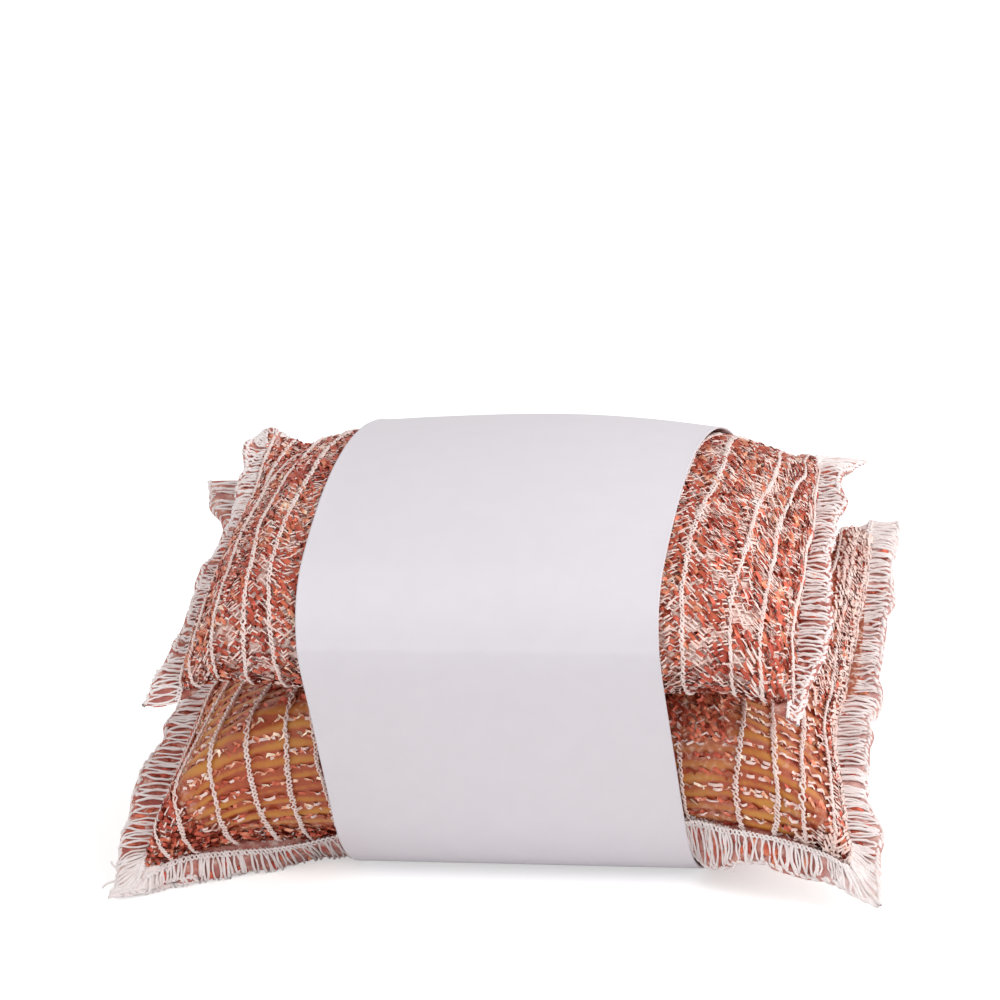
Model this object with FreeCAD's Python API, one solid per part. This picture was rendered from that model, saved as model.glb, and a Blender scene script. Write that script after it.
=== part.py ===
"""Pack of two knit-covered scrubbing sponges, one on the other, in a paper band.

The pack lies along X, its front is at -Y and it stands on Z = 0. Each sponge is a foam core in a double
knit cover, folded round one long side and overlocked along the other long side and both ends.
Lengths are in millimetres, angles in degrees.
"""
import FreeCAD
import Part
import math
import os

# Layers of a sponge
outer_knit_thickness = 1.2
inner_knit_thickness = 1.0
layer_gap = 0.15
sponge_gap = 0.3
knit_end_setback = 4.0
core_end_setback = 2.0

# How the ends of a sponge close on their seams
end_round_share = 2.2
end_blunt_share = 0.62
slit_fullness_share = 0.06
end_station_shares = (0, 0.18, 0.34, 0.48, 0.6, 0.71, 0.8, 0.88, 0.94, 0.98, 1)

# Upper sponge, crowned by the band
upper_body_length = 90.0
upper_shift = -3.5
upper_half_depth = 44.0
upper_end_half_depth = 37.0
upper_setback = 0.0
upper_end_setback = 0.0
upper_low_radius = 12.0
upper_side = 0.2
upper_high_radius = 13.2
upper_crown = 9.1
upper_tilt_angle = 12.0
upper_seam_rise = 2.0
upper_ear_half_span = 41.5
upper_front_ear_rise = -1.5
upper_back_ear_rise = 2.0
upper_front_ear_flare = 4.0
upper_back_ear_flare = 4.0

# Lower sponge, drawn in by the band
lower_body_length = 102.0
lower_shift = -3.5
lower_half_depth = 38.0
lower_end_half_depth = 34.0
lower_setback = 7.0
lower_end_setback = 3.0
lower_low_radius = 27.5
lower_side = 1.0
lower_high_radius = 6.5
lower_crown = 0.0
lower_tilt_angle = 14.0
lower_seam_rise = -5.0
lower_ear_half_span = 43.5
lower_front_ear_rise = -7.5
lower_back_ear_rise = 8.0
lower_front_ear_flare = 6.0
lower_back_ear_flare = 2.0
lower_seam_root_angle = 212.0

# Overlocked seams
seam_width = 6.5
seam_thickness = 2.2
pressed_seam_thickness = 0.9
seam_root_gap = 0.1
seam_flare_angle = 70.0
seam_station_shares = (-1, -0.92, -0.82, -0.6, -0.3, 0, 0.3, 0.6, 0.82, 0.92, 1)
seam_width_shares = (0.66, 1, 1.08, 0.94, 1.05, 0.95, 1.04, 0.93, 1.05, 1.02, 0.64)
ear_start_share = 0.72
corner_widening_share = 0.5

# Paper band
paper_thickness = 0.3
band_clearance = 0.3
band_width = 57.5
pressed_seam_clearance = 0.43
tab_root_angle = -61.5
tab_step_angle = 1.5
tab_end_angle = -30.0
ply_gap_angle = 1.5
glue_thickness = 0.1
glue_end_angle = 3.5
glue_side_inset = 2.0

QUARTER_TURN = 90.0
HALF_TURN = 180.0

pads = {
    "lower": {
        "length": lower_body_length,
        "shift": lower_shift,
        "half_depth": lower_half_depth,
        "end_half_depth": lower_end_half_depth,
        "setback": lower_setback,
        "end_setback": lower_end_setback,
        "low": paper_thickness + band_clearance,
        "low_radius": lower_low_radius,
        "side": lower_side,
        "high_radius": lower_high_radius,
        "crown": lower_crown,
        "tilt": lower_tilt_angle,
        "seam_rise": lower_seam_rise,
        "ear_half_span": lower_ear_half_span,
        "ear_rises": (lower_front_ear_rise, lower_back_ear_rise),
        "ear_flares": (lower_front_ear_flare, lower_back_ear_flare),
        "root_angle": lower_seam_root_angle,
        "seam_side": -1,
    },
    "upper": {
        "length": upper_body_length,
        "shift": upper_shift,
        "half_depth": upper_half_depth,
        "end_half_depth": upper_end_half_depth,
        "setback": upper_setback,
        "end_setback": upper_end_setback,
        "low_radius": upper_low_radius,
        "side": upper_side,
        "high_radius": upper_high_radius,
        "crown": upper_crown,
        "tilt": upper_tilt_angle,
        "seam_rise": upper_seam_rise,
        "ear_half_span": upper_ear_half_span,
        "ear_rises": (upper_front_ear_rise, upper_back_ear_rise),
        "ear_flares": (upper_front_ear_flare, upper_back_ear_flare),
        "seam_side": 1,
    },
}


def pad_height(pad):
    return pad["low_radius"] + pad["side"] + pad["high_radius"] + pad["crown"]


pads["upper"]["low"] = pads["lower"]["low"] + pad_height(pads["lower"]) + sponge_gap


def polar(centre_y, centre_z, radius, angle):
    turn = math.radians(angle)
    return centre_y + radius * math.cos(turn), centre_z + radius * math.sin(turn)


def seam_height(pad):
    """Height of the line that a pad's two ends close on, at the middle of its depth."""
    return pad["low"] + pad["low_radius"] + pad["side"] / 2 + pad["seam_rise"]


def dome_radius(span, corner, crown):
    """Radius of the arc that meets two corner arcs smoothly and rises crown above them."""
    return (span ** 2 + crown ** 2 + 2 * corner * crown) / (2 * crown)


def scaled_pad(pad, fullness, inset):
    """Sizes of one section: the full section drawn in by inset, then closed towards the seam line."""
    seam = seam_height(pad)
    low = pad["low"] + inset
    depth = pad["end_half_depth"] + (pad["half_depth"] - pad["end_half_depth"]) * fullness - inset
    return {
        "middle": pad["end_setback"] + (pad["setback"] - pad["end_setback"]) * fullness,
        "half_depth": depth,
        "low": seam - (seam - low) * fullness,
        "low_radius": (pad["low_radius"] - inset) * fullness,
        "side": pad["side"] * fullness,
        "high_radius": (pad["high_radius"] - inset) * fullness,
        "crown": pad["crown"] * fullness,
    }


def tilted(pad, fullness, y, z):
    """Turn a section's point about the seam line, further as the end closes."""
    turn = math.radians(pad["tilt"]) * (1 - fullness)
    rise = z - seam_height(pad)
    return (y * math.cos(turn) - rise * math.sin(turn),
            seam_height(pad) + y * math.sin(turn) + rise * math.cos(turn))


def section_wire(pad, x, fullness, inset):
    """One closed section of a pad at x: flat or crowned top, two corner radii a side, flat bottom."""
    size = scaled_pad(pad, fullness, inset)
    low_y = size["half_depth"] - size["low_radius"]
    low_z = size["low"] + size["low_radius"]
    high_y = size["half_depth"] - size["high_radius"]
    high_z = low_z + size["side"]
    top_z = high_z + size["high_radius"] + size["crown"]
    lean = QUARTER_TURN
    if size["crown"]:
        dome_z = top_z - dome_radius(high_y, size["high_radius"], size["crown"])
        lean = math.degrees(math.atan2(high_z - dome_z, high_y))

    def point(y, z):
        return FreeCAD.Vector(x, *tilted(pad, fullness, size["middle"] + y, z))

    def corner(centre_y, centre_z, radius, first, last):
        angles = (first, (first + last) / 2, last)
        return Part.Arc(*[point(*polar(centre_y, centre_z, radius, a)) for a in angles]).toShape()

    def line(start, end):
        return Part.makeLine(point(*start), point(*end))

    top_start = polar(high_y, high_z, size["high_radius"], lean)
    top_end = polar(-high_y, high_z, size["high_radius"], HALF_TURN - lean)
    top = line(top_start, top_end)
    if size["crown"]:
        top = Part.Arc(point(*top_start), point(0, top_z), point(*top_end)).toShape()
    return Part.Wire([
        line((-low_y, size["low"]), (low_y, size["low"])),
        corner(low_y, low_z, size["low_radius"], -QUARTER_TURN, 0),
        line((size["half_depth"], low_z), (size["half_depth"], high_z)),
        corner(high_y, high_z, size["high_radius"], 0, lean),
        top,
        corner(-high_y, high_z, size["high_radius"], HALF_TURN - lean, HALF_TURN),
        line((-size["half_depth"], high_z), (-size["half_depth"], low_z)),
        corner(-low_y, low_z, size["low_radius"], HALF_TURN, HALF_TURN + QUARTER_TURN),
    ])


def held_half_length(pad):
    """Half of the middle stretch that keeps its full section, which covers the band."""
    return band_width / 2 + abs(pad["shift"])


def fullness_at(pad, from_middle):
    """Share of the full section that a pad keeps: whole under the band, a slit at its ends."""
    held = held_half_length(pad)
    share = (abs(from_middle) - held) / (pad["length"] / 2 - held)
    share = min(max(share, 0), 1)
    closing = (1 - share ** end_round_share) ** end_blunt_share
    return slit_fullness_share + (1 - slit_fullness_share) * closing


def pad_solid(pad, inset, setback):
    """Body of a pad, drawn in by inset all round and cut short by setback at both ends."""
    held = held_half_length(pad)
    free = pad["length"] / 2 - setback - held
    right = [held + free * share for share in end_station_shares]
    places = [-x for x in reversed(right)] + right
    wires = [section_wire(pad, pad["shift"] + x, fullness_at(pad, x), inset) for x in places]
    return Part.makeLoft(wires, True, True)


def outer_knit(pad):
    return pad_solid(pad, 0, 0).cut(pad_solid(pad, outer_knit_thickness, knit_end_setback))


def inner_knit(pad):
    inset = outer_knit_thickness + layer_gap
    setback = knit_end_setback + layer_gap
    inside = pad_solid(pad, inset + inner_knit_thickness, setback + core_end_setback)
    return pad_solid(pad, inset, setback).cut(inside)


def foam_core(pad):
    inset = outer_knit_thickness + inner_knit_thickness + 2 * layer_gap
    return pad_solid(pad, inset, knit_end_setback + core_end_setback + 2 * layer_gap)


def strip(sections):
    """Solid through four-cornered sections, each a list of points in order."""
    wires = [Part.makePolygon(points + points[:1]) for points in sections]
    return Part.makeLoft(wires, True, True)


def end_seam(pad, end):
    """Overlocked edge across one end of a pad, with an ear at each corner."""
    root = pad["shift"] + end * pad["length"] / 2
    sections = []
    for share, width_share in zip(seam_station_shares, seam_width_shares):
        y, z = tilted(pad, slit_fullness_share, share * pad["ear_half_span"], seam_height(pad))
        ear = max(abs(share) - ear_start_share, 0) / (1 - ear_start_share)
        corner = 1 if share > 0 else 0
        z += ear * pad["ear_rises"][corner]
        tip = root + end * (seam_width * width_share + ear * pad["ear_flares"][corner])
        corners = ((root, -1), (tip, -1), (tip, 1), (root, 1))
        sections.append([FreeCAD.Vector(x, y, z + side * seam_thickness / 2) for x, side in corners])
    return strip(sections)


def seam_corner_centre(pad, size):
    """Centre of the lower corner that carries a pad's long seam."""
    centre_y = size["middle"] + pad["seam_side"] * (size["half_depth"] - size["low_radius"])
    return centre_y, size["low"] + size["low_radius"]


def long_seam_corners(pad, fullness, share):
    """Section of a long seam before the pad's tilt: root, tip and the two corners off the pad."""
    size = scaled_pad(pad, fullness, 0)
    side = pad["seam_side"]
    centre = seam_corner_centre(pad, size)
    root = polar(*centre, size["low_radius"] + seam_root_gap, pad["root_angle"])
    along = pad["root_angle"] - side * QUARTER_TURN + side * seam_flare_angle * share
    off = along + side * QUARTER_TURN
    thickness = pressed_seam_thickness + (seam_thickness - pressed_seam_thickness) * share
    tip = polar(*root, seam_width * (1 + corner_widening_share * share), along)
    return [root, tip, polar(*tip, thickness, off), polar(*root, thickness, off)]


def long_seam(pad):
    """Overlocked edge along a pad: pressed flat under the band and standing off towards the ends."""
    held = held_half_length(pad)
    free = pad["length"] / 2 - held
    right = [(held + free * share, share) for share in end_station_shares]
    places = [(-x, share) for x, share in reversed(right)] + right
    sections = []
    for x, share in places:
        fullness = fullness_at(pad, x)
        corners = long_seam_corners(pad, fullness, share)
        sections.append([FreeCAD.Vector(pad["shift"] + x, *tilted(pad, fullness, y, z)) for y, z in corners])
    return strip(sections)


def front_corner_radius():
    """Radius of the band's lower front corner, which rounds the pressed seam at its clearance."""
    lower = pads["lower"]
    centre = seam_corner_centre(lower, scaled_pad(lower, 1, 0))
    tip = long_seam_corners(lower, 1, 0)[2]
    y = tip[0] - centre[0]
    z = tip[1] - centre[1]
    reach = lower["low_radius"] + band_clearance - pressed_seam_clearance
    lead = y + z + reach
    return lower["low_radius"] + lead + math.sqrt(lead ** 2 + reach ** 2 - y ** 2 - z ** 2)


def band_arcs(offset):
    """Arcs of the band's section at offset from its inner face: centre, radius, first and last angle."""
    upper = pads["upper"]
    lower = pads["lower"]
    band_front_radius = front_corner_radius()
    high_y = upper["half_depth"] - upper["high_radius"]
    high_z = upper["low"] + upper["low_radius"] + upper["side"]
    dome = dome_radius(high_y, upper["high_radius"], upper["crown"])
    dome_z = high_z + upper["high_radius"] + upper["crown"] - dome
    lean = math.degrees(math.atan2(high_z - dome_z, high_y))
    grow = band_clearance + offset
    shoulder = upper["high_radius"] + grow
    back = (lower["setback"] + lower["half_depth"] - lower["low_radius"], lower["low"] + lower["low_radius"])
    front = (lower["half_depth"] - lower["setback"] - band_front_radius, lower["low"] + band_front_radius)

    def run_normal(low_centre, radius):
        """Angle of the normal of the straight run from the shoulder to a lower corner, seen at +Y."""
        run = high_y - low_centre[0]
        rise = high_z - low_centre[1]
        slope = math.asin((radius + grow - shoulder) / math.hypot(run, rise))
        return math.degrees(slope - math.atan2(run, rise))

    back_normal = run_normal(back, lower["low_radius"])
    front_normal = HALF_TURN - run_normal(front, band_front_radius)
    return [
        (*back, lower["low_radius"] + grow, -QUARTER_TURN, back_normal),
        (high_y, high_z, shoulder, back_normal, lean),
        (0, dome_z, dome + grow, lean, HALF_TURN - lean),
        (-high_y, high_z, shoulder, HALF_TURN - lean, front_normal),
        (-front[0], front[1], band_front_radius + grow, front_normal, HALF_TURN + QUARTER_TURN),
    ]


def upper_seam_root_angle():
    """Angle on the upper pad's low back corner where its pressed seam clears the band's straight run."""
    upper = pads["upper"]
    shoulder_y, shoulder_z, radius, run_angle, _ = band_arcs(0)[1]
    centre_y, centre_z = seam_corner_centre(upper, scaled_pad(upper, 1, 0))
    turn = math.radians(run_angle)
    room = (shoulder_y - centre_y) * math.cos(turn) + (shoulder_z - centre_z) * math.sin(turn) + radius
    reach = upper["low_radius"] + seam_root_gap + pressed_seam_thickness
    return run_angle - math.degrees(math.acos((room - pressed_seam_clearance) / reach))


pads["upper"]["root_angle"] = upper_seam_root_angle()


def band_face(x, offset):
    """Filled section of the band at offset from its inner face: arcs, with straight runs down to the corners."""
    arcs = []
    for centre_y, centre_z, radius, first, last in band_arcs(offset):
        angles = (first, (first + last) / 2, last)
        arcs.append([FreeCAD.Vector(x, *polar(centre_y, centre_z, radius, a)) for a in angles])
    back, back_shoulder, dome, front_shoulder, front = arcs
    edges = [Part.Arc(*points).toShape() for points in arcs]
    edges.insert(1, Part.makeLine(back[-1], back_shoulder[0]))
    edges.insert(len(edges) - 1, Part.makeLine(front_shoulder[-1], front[0]))
    edges.append(Part.makeLine(front[-1], back[0]))
    return Part.Face(Part.Wire(edges))


def ply_sector(low_offset, high_offset, first, last, inset):
    """Curved slab on the band's lower back corner, between two offsets from the band's inner face."""
    x = inset - band_width / 2
    centre_y, centre_z, inner, _, _ = band_arcs(low_offset)[0]
    outer = band_arcs(high_offset)[0][2]
    middle = (first + last) / 2

    def point(radius, angle):
        return FreeCAD.Vector(x, *polar(centre_y, centre_z, radius, angle))

    wire = Part.Wire([
        Part.Arc(*[point(inner, a) for a in (first, middle, last)]).toShape(),
        Part.makeLine(point(inner, last), point(outer, last)),
        Part.Arc(*[point(outer, a) for a in (last, middle, first)]).toShape(),
        Part.makeLine(point(outer, first), point(inner, first)),
    ])
    return Part.Face(wire).extrude(FreeCAD.Vector(band_width - 2 * inset, 0, 0))


def paper_band():
    """One strip of paper round both sponges, its end lapped over its start at the lower back."""
    x = -band_width / 2
    ring = band_face(x, paper_thickness).cut(band_face(x, 0)).extrude(FreeCAD.Vector(band_width, 0, 0))
    lap = paper_thickness + glue_thickness
    step_end = tab_root_angle + tab_step_angle
    gap = ply_sector(-band_clearance, lap, step_end, step_end + ply_gap_angle, 0)
    step = ply_sector(0, lap + paper_thickness, tab_root_angle, step_end, 0)
    tab = ply_sector(lap, lap + paper_thickness, tab_root_angle, tab_end_angle, 0)
    return ring.cut(gap).fuse([step, tab]).removeSplitter()


def band_glue():
    """Glue line between the band's two plies."""
    first = tab_root_angle + tab_step_angle + ply_gap_angle + glue_end_angle
    last = tab_end_angle - glue_end_angle
    return ply_sector(paper_thickness, paper_thickness + glue_thickness, first, last, glue_side_inset)


def sponge_pieces(name):
    pad = pads[name]
    return {
        f"{name}_foam_core": foam_core(pad),
        f"{name}_inner_knit": inner_knit(pad),
        f"{name}_outer_knit": outer_knit(pad),
        f"{name}_left_seam": end_seam(pad, -1),
        f"{name}_right_seam": end_seam(pad, 1),
        f"{name}_long_seam": long_seam(pad),
    }


pieces = {}
for sponge in pads:
    pieces.update(sponge_pieces(sponge))
pieces["paper_band"] = paper_band()
pieces["band_glue"] = band_glue()

os.makedirs("parts", exist_ok=True)
for node, shape in pieces.items():
    shape.exportStep(f"parts/{node}.step")
    print(node, len(shape.Solids), shape.isValid(), round(shape.Volume, 1))
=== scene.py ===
import math
import bpy
import numpy as np
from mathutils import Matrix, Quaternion, Vector


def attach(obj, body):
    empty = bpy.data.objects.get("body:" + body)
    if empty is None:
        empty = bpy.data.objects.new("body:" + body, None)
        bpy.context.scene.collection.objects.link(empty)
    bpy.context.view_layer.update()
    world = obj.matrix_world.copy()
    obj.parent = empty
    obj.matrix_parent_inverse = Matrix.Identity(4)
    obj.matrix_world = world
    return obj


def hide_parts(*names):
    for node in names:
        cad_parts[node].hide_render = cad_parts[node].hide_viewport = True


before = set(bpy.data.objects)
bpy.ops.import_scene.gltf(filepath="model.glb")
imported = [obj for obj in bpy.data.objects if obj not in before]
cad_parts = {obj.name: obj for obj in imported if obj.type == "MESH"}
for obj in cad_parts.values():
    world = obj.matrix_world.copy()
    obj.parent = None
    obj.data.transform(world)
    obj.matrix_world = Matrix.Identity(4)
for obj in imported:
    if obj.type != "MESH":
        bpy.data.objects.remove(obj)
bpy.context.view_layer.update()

# Sizes are in millimetres and angles in degrees; points turn to metres when a mesh is made
METRE = 1000.0
QUARTER_TURN = 90.0
HALF_TURN = 180.0
CIRCLE = 2 * math.pi
TINY = 1e-9
SEED = 41

# Shape of the sponges and the band, as in the solids
slit_fullness_share = 0.012
end_round_share = 2.2
end_blunt_share = 0.62
band_width = 57.5
paper_thickness = 0.3
band_clearance = 0.3
seam_width = 6.5
seam_thickness = 2.2
pressed_seam_thickness = 0.9
pressed_seam_clearance = 0.43
seam_root_gap = 0.1
root_ease = 3.0
root_lead = 1.5
skirt_floor_share = -0.15
root_sink = 1.6
seam_flare_angle = 84.0
corner_widening_share = -0.36
ear_power_share = 1.3
ear_limit_share = 1.15
crown_base = 46.0
crown_span = 18.0
pinch_span = 24.0

# Pairs are front and back, and the keys -1 and 1 are the left and right ends
pads = {
    "lower": {
        "length": 105.5, "shift": -3.5, "half_depth": 38.0, "end_half_depth": 34.0,
        "setback": 7.0, "end_setback": 3.0, "low": 0.6, "low_radius": 27.5, "side": 1.0,
        "high_radius": 6.5, "crown": 0.0, "tilt": 14.0, "seam_rise": -5.0, "seam_side": -1,
        "root_angle": 212.0, "loose_root_angles": {-1: 229.0, 1: 213.0},
        "skirt_shares": {-1: 0.66, 1: 0.9}, "skirt_fades": {-1: 1.0, 1: 2.3},
        "pinch_shares": {-1: (0.0, 0.0), 1: (0.0, -1.05)}, "course_levels": {-1: 6.5, 1: 8.0},
        "edge_widths": {-1: 5.8, 1: 5.6}, "ear_half_span": 43.5, "corner_half_depth": 36.0,
        "corner_rises": {-1: (-24.0, 20.5), 1: (-17.2, 12.8)},
        "corner_pulls": {-1: (7.7, -9.5), 1: (10.2, 1.0)},
        "corner_flares": {-1: (-2.2, 13.2), 1: (-2.0, -1.3)},
        "corner_power_shares": {-1: (1.2, 3.5), 1: (1.2, 1.6)}, "corner_start_shares": (0.19, 0.05),
        "corner_droop": 1.0, "crown_drops": (0.0, 0.0),
    },
    "upper": {
        "length": 95.1, "shift": -2.7, "half_depth": 44.0, "end_half_depth": 37.0,
        "setback": 0.0, "end_setback": 0.0, "low": 35.9, "low_radius": 12.0, "side": 0.2,
        "high_radius": 13.2, "crown": 9.1, "tilt": 12.0, "seam_rise": 2.0, "seam_side": 1,
        "root_angle": -21.1, "loose_root_angles": {-1: -21.1, 1: -21.1},
        "skirt_shares": {-1: 0.3, 1: 0.3}, "skirt_fades": {-1: 1.0, 1: 1.0},
        "pinch_shares": {-1: (0.42, 0.42), 1: (0.0, 0.0)}, "course_levels": {-1: 2.0, 1: 2.0},
        "edge_widths": {-1: 3.4, 1: 4.4}, "ear_half_span": 41.5, "corner_half_depth": 38.5,
        "corner_rises": {-1: (-6.9, 4.2), 1: (-8.5, -0.3)},
        "corner_pulls": {-1: (0.0, 4.6), 1: (3.6, -4.3)},
        "corner_flares": {-1: (2.0, -2.1), 1: (-3.8, 4.1)},
        "corner_power_shares": {-1: (3.0, 3.0), 1: (3.0, 3.0)}, "corner_start_shares": (0.05, 0.05),
        "corner_droop": 0.8, "crown_drops": (1.2, 2.4),
    },
}

# Grids that the soft surfaces are worked out on, read up to a small gap before their last points
fine_columns, fine_rings = 181, 480
cloth_columns, cloth_rings = 61, 120
pad_columns, pad_rings = 121, 480
cell_gap = 0.001
arc_steps = 40
cover_depth = 1.1
band_swell = 0.3
course_wobble = 1.1
wobble_cells = (24, 70)

# Cloth settling, and the bulges that fade towards the ends and the fold
cloth_frames = 20
cloth_pressure = 5.0
cloth_cap = 2.2
cloth_start_depth = 0.9
pinned_columns = 3
bulge_noise = 0.9
bulge_cells = (14, 18)
bulge_end_power = 6
bulge_fold_power = 12

# Unevenness of the threads: how much, and how many rows and steps go to one patch
uneven = {
    "loop_phase": (2.2, 2, 25), "loop_swing": (0.45, 1, 10), "course_wander": (0.35, 1, 40),
    "loop_height": (0.12, 1, 6), "ribbon_tilt": (0.5, 1, 5), "ribbon_width": (0.3, 1, 7),
    "flake_chance": (1.0, 1, 5), "tone_patch": (0.3, 3, 30), "tone_flake": (0.4, 1, 6),
    "rib_turn": (0.8, 1, 10), "rib_swing": (0.6, 1, 15), "rib_stray": (0.2, 1, 5),
    "rib_radius": (0.25, 1, 5), "inlay_phase": (4.5, 1, 14), "inlay_drift": (0.35, 1, 9),
    "inlay_lean": (0.7, 1, 6), "inlay_width": (0.4, 1, 5), "inlay_chance": (1.0, 1, 6),
    "strip_swell": (0.35, 2, 2), "chain_place": (0.02, 1, 12), "rim_phase": (1.5, 1, 14),
    "rim_swing": (1.0, 1, 8),
}

# Copper courses of the knit; pairs are its two layers
course_pitch = 1.4
course_step = 0.245
knit_margin = 0.3
loop_pitch = 1.7
loop_swings = (0.5, 0.85)
loop_heights = (0.22, 0.5)
least_height = 0.06
loop_rise = 0.28
loop_rise_turn = 0.8
loop_lean = 0.3
loop_lean_turn = 1.0
ribbon_widths = (0.8, 0.6)
ribbon_tilt = 0.75
open_flat_share = 0.45
open_narrow_share = 0.35
open_limit_share = 0.35
open_flake_limits = (0.3, 0.75)
middle_tone = 0.5
open_tone = 0.2
bare_shares = {"upper": (0.42, 0.52), "lower": (0.16, 0.36)}

# White ribs, which sink under the copper near the band's right side on the lower sponge, as painted shade
# where the upper sponge shades it
rib_pitch = 5.6
rib_jitter = 0.8
rib_margin = 1.2
rib_wander = 1.2
rib_bends = 16
rib_join_share = 0.05
stitch_pitch = 1.6
rib_steps = 5
rib_sides = 4
rib_swings = {"upper": 0.26, "lower": 0.31}
rib_height = 0.72
rib_twist = 0.1
rib_radius = 0.18
sunk_start = 26.0
sunk_stop = 38.0
sunk_span = 3.0
sunk_low = 22.0
painted_shade_sink_depths = {"upper": 0.0, "lower": 0.9}

# Fine inlaid thread, denser towards the right end, and flecks where the knit is drawn open
inlay_width = 0.26
inlay_course_pitches = {"upper": 0.63, "lower": 0.8}
inlay_bare_shares = {"upper": 0.42, "lower": 0.56}
inlay_height = 0.45
inlay_rise = 0.28
inlay_rise_share = 0.8
inlay_rise_turn = 1.3
inlay_swing = 0.45
inlay_pitch = 1.7
inlay_patch = 0.15
inlay_patch_cells = (6, 5)
fleck_open_share = 0.4
fleck_reach = 0.5
fleck_bare_share = 0.55
pale_fleck_share = 0.15
pale_starts = {"upper": 25.0, "lower": 36.0}
pale_spans = {"upper": 15.0, "lower": 6.0}
pale_shares = {"upper": 0.12, "lower": 0.34}
pale_lifts = {"upper": 0.05, "lower": 0.5}

# Where the lower sponge's knit is drawn open and its foam shows
open_face_share = 0.22
open_face_span_share = 0.3
open_tilt_share = 0.5
open_low = 8.5
open_high = 33.5
open_level_span = 3.5
open_half_length = 57.0
open_end_span = 5.0
open_knee = 20.0
open_lean_share = 0.5
open_right_start = 16.0
open_right_span = 10.0
open_right_level = 19.5
open_right_reach = 12.0
open_end_start = 35.0
open_end_stop = 47.5
open_end_tilt_share = -0.7

# Overlocked edges: their lines
root_tuck = 0.6
ear_overhang = 2.5
ear_length_share = 0.25
corner_start = 4.0
corner_bend_share = 0.65
fan_bend_share = 0.55
long_margin = 0.3
end_rows, corner_rows, long_rows, fan_rows = 60, 14, 121, 12
run_share = 0.7
edge_step = 0.8
least_edge_rows = 8
least_waves = 2
edge_columns = 9

# Overlocked edges: the strip of knit; ruffles are share, steps to a wave and waves across
floor_gap = 1.2
strip_tuck = 2.6
inward_share = 0.7
inner_reach = 14.0
free_start = 1.0
free_span = 6.0
edge_half_thickness = 0.55
held_share = 0.42
end_share = 0.2
taper_length = 5.0
edge_ruffle = 0.9
ruffle_power_share = 1.3
ruffles = ((1.0, 7, 2), (0.6, 3, 3))
# Bites out of the rim are share and length
rim_bites = ((0.17, 6.0), (0.05, 1.9))
steady_length = 6.0

# Overlocked edges: their threads
stitch_spacing = 1.6
stitch_noise_share = 0.3
stitch_bow = 0.64
stitch_bow_shares = (0.6, 1.3)
stitch_slant = 0.6
solid_length = 10.0
solid_spacing = 0.55
strand_radius = 0.21
strand_radius_share = 0.25
strand_lift = 0.26
strand_lift_share = 0.2
strand_steps = 17
strand_sides = 5
strand_power_share = 1.5
strand_reach_share = 0.02
rim_radius = 0.27
rim_swing_share = 0.035
rim_pitch = 2.1
rim_round_share = 0.06
rim_strands = 3
chain_step = 0.3
chain_share = 0.07
tail_steps = 7
tail_curl = 0.5
tail_root_share = 0.5
tail_reach = 1.0

# Copper ribbon on the edges
fringe_per_length = 1.6
fringe_steps = 6
fringe_slant = 0.4
fringe_start_shares = (0.1, 0.6)
fringe_length_shares = (0.15, 0.45)
fringe_front_share = 0.6
fringe_lean = 0.5
fringe_widths = (0.5, 0.95)
fringe_tones = (0.05, 0.7)

# White share of the edges at the ear on the folded side, at the seam's corner and between them
solid_shares = {
    "lower_left": (0.15, 1.0, 0.05), "lower_right": (1.0, 0.7, 0.3), "lower_long": (1.0, 0.7, 0.15),
    "upper_left": (0.1, 0.3, 0.1), "upper_right": (0.1, 0.3, 0.1), "upper_long": (0.3, 0.3, 0.1),
}

# Loose thread ends: distance from the end of the edge's run, length and lean along the rim
loose_tails = {
    "lower_left_overlock": [(6.0, 3.6, 0.3), (7.5, 2.6, 1.2)],
    "lower_long_overlock": [(24.0, 2.4, 0.6)],
}

# Paper band
lap_root_angle = -61.5
lap_step_angle = 1.5
lap_end_angle = -30.0
lap_gap_angle = 1.5
lap_rise = 0.4
lap_start_share = 0.93
lap_ease_rows = 6
lap_flat_share = 0.8
band_columns = 61
band_rows = 420
band_crowding_share = 1.4
crease_depth = 0.22
crease_width = 0.9
crease_turn = 17.0
crease_noise_share = 0.3
crease_cells = (4, 9)
paper_wave = 0.16
paper_waves = ((0.7, (26, 4)), (0.3, (70, 10)))
paper_edge_lift = 0.25
paper_edge_power = 8
paper_edge_cells = (24, 2)
standing_start = 3.0
standing_span = 6.0

# Colours along their ramps
# The copper ramp's reds and oranges are the ribbon's own colour; its pale peach top is painted highlight on
# the ribbon
copper_and_highlight_stops = [
    (0.08, (0.38, 0.05, 0.028)), (0.36, (0.48, 0.075, 0.04)), (0.62, (0.58, 0.125, 0.062)),
    (0.84, (0.74, 0.3, 0.17)), (1.0, (0.97, 0.78, 0.6)),
]
gold_stops = [(0.48, (0.58, 0.235, 0.032)), (0.68, (0.52, 0.17, 0.026)), (0.92, (0.4, 0.07, 0.02))]
ground_stops = {
    "upper": [(0.32, (0.42, 0.1, 0.065)), (0.44, (0.68, 0.4, 0.33)), (0.56, (0.88, 0.69, 0.63))],
    "lower": [(0.3, (0.4, 0.075, 0.04)), (0.5, (0.52, 0.15, 0.08)), (0.64, (0.8, 0.52, 0.42))],
}
edge_red_stops = [
    (0.3, (0.3, 0.035, 0.02)), (0.48, (0.45, 0.075, 0.042)),
    (0.6, (0.62, 0.26, 0.19)), (0.72, (0.88, 0.7, 0.66)),
]
edge_pale_stops = [(0.3, (0.8, 0.62, 0.59)), (0.5, (0.92, 0.82, 0.8)), (0.7, (0.95, 0.89, 0.88))]
seam_thread_stops = [(0.25, (0.86, 0.74, 0.72)), (0.55, (0.95, 0.87, 0.855)), (0.85, (0.97, 0.92, 0.91))]
rib_thread_stops = [(0.3, (0.88, 0.67, 0.61)), (0.55, (0.95, 0.79, 0.745)), (0.8, (0.97, 0.87, 0.84))]
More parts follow.
